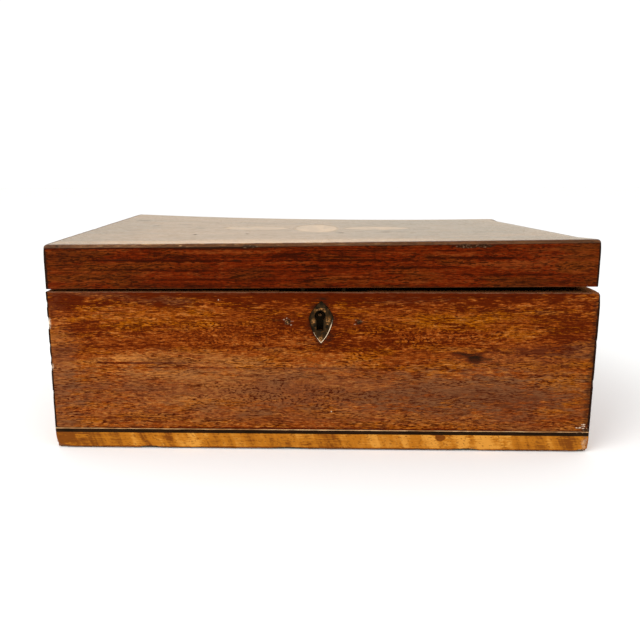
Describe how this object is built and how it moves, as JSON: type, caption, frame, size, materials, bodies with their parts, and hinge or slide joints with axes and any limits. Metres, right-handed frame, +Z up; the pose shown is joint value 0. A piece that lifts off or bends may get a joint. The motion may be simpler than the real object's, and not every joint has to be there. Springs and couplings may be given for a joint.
{
  "type": "document box",
  "caption": "Veneered wooden document box with a hinged warped lid, inlaid foot band and a brass box lock that takes a key.",
  "frame": {"origin": "middle of the box's outline on the surface it stands on", "axes": "+X to the right seen from the front, -Y is the front with the keyhole, +Z up"},
  "size_m": [0.35, 0.26, 0.139],
  "materials": {
    "mahogany_veneer": "old shellac polish, worn",
    "mahogany_edging": "old shellac polish, rubbed arris",
    "carcass_mahogany": "bare planed wood, darkened",
    "satinwood": "old shellac polish",
    "ebony": "polished",
    "boxwood": "polished",
    "green_baize": "napped wool cloth",
    "old_brass": "dark patina, bright at worn edges",
    "steel": "dull iron"
  },
  "bodies": {
    "body": {"base_board": "carcass_mahogany", "front_board": "carcass_mahogany", "back_board": "carcass_mahogany", "left_board": "carcass_mahogany", "right_board": "carcass_mahogany", "front_veneer": "mahogany_veneer", "back_veneer": "mahogany_veneer", "left_veneer": "mahogany_veneer", "right_veneer": "mahogany_veneer", "front_band": "satinwood", "back_band": "satinwood", "left_band": "satinwood", "right_band": "satinwood", "ebony_strings": "ebony", "boxwood_strings": "boxwood", "foot_baize": "green_baize", "floor_lining": "green_baize", "escutcheon": "old_brass", "lock_plate": "old_brass", "lock_cap": "old_brass", "lock_ward": "old_brass", "lock_studs": "old_brass", "lock_drill_pin": "steel", "lock_face_pins": "steel", "lock_rim_screws": "steel", "left_hinge_body_leaf": "old_brass", "left_hinge_pin": "steel", "left_hinge_body_screws": "steel", "right_hinge_body_leaf": "old_brass", "right_hinge_pin": "steel", "right_hinge_body_screws": "steel"},
    "lid": {"lid_front_board": "carcass_mahogany", "lid_back_board": "carcass_mahogany", "lid_left_board": "carcass_mahogany", "lid_right_board": "carcass_mahogany", "lid_top_board": "carcass_mahogany", "lid_front_veneer": "mahogany_veneer", "lid_back_veneer": "mahogany_veneer", "lid_left_veneer": "mahogany_veneer", "lid_right_veneer": "mahogany_veneer", "lid_top_veneer": "mahogany_veneer", "lid_front_edging": "mahogany_edging", "lid_back_edging": "mahogany_edging", "lid_left_edging": "mahogany_edging", "lid_right_edging": "mahogany_edging", "lid_medallion": "satinwood", "lid_medallion_string": "boxwood", "lid_leaf_inlays": "satinwood", "link_plate": "old_brass", "link_staples": "old_brass", "link_plate_screws": "steel", "left_hinge_lid_leaf": "old_brass", "right_hinge_lid_leaf": "old_brass", "left_hinge_lid_screws": "steel", "right_hinge_lid_screws": "steel"},
    "bolt": {"lock_bolt": "old_brass", "lock_bolt_spring": "steel"}
  },
  "joints": [
    {"name": "lid_hinge", "type": "hinge", "parent": "body", "child": "lid", "pos_m": [0, 0.128, 0.1058], "axis": [-1, 0, 0], "range_deg": [0, 98]},
    {"name": "lock_bolt_slide", "type": "slide", "parent": "body", "child": "bolt", "axis": [1, 0, 0], "range_m": [0, 0.006]}
  ]
}
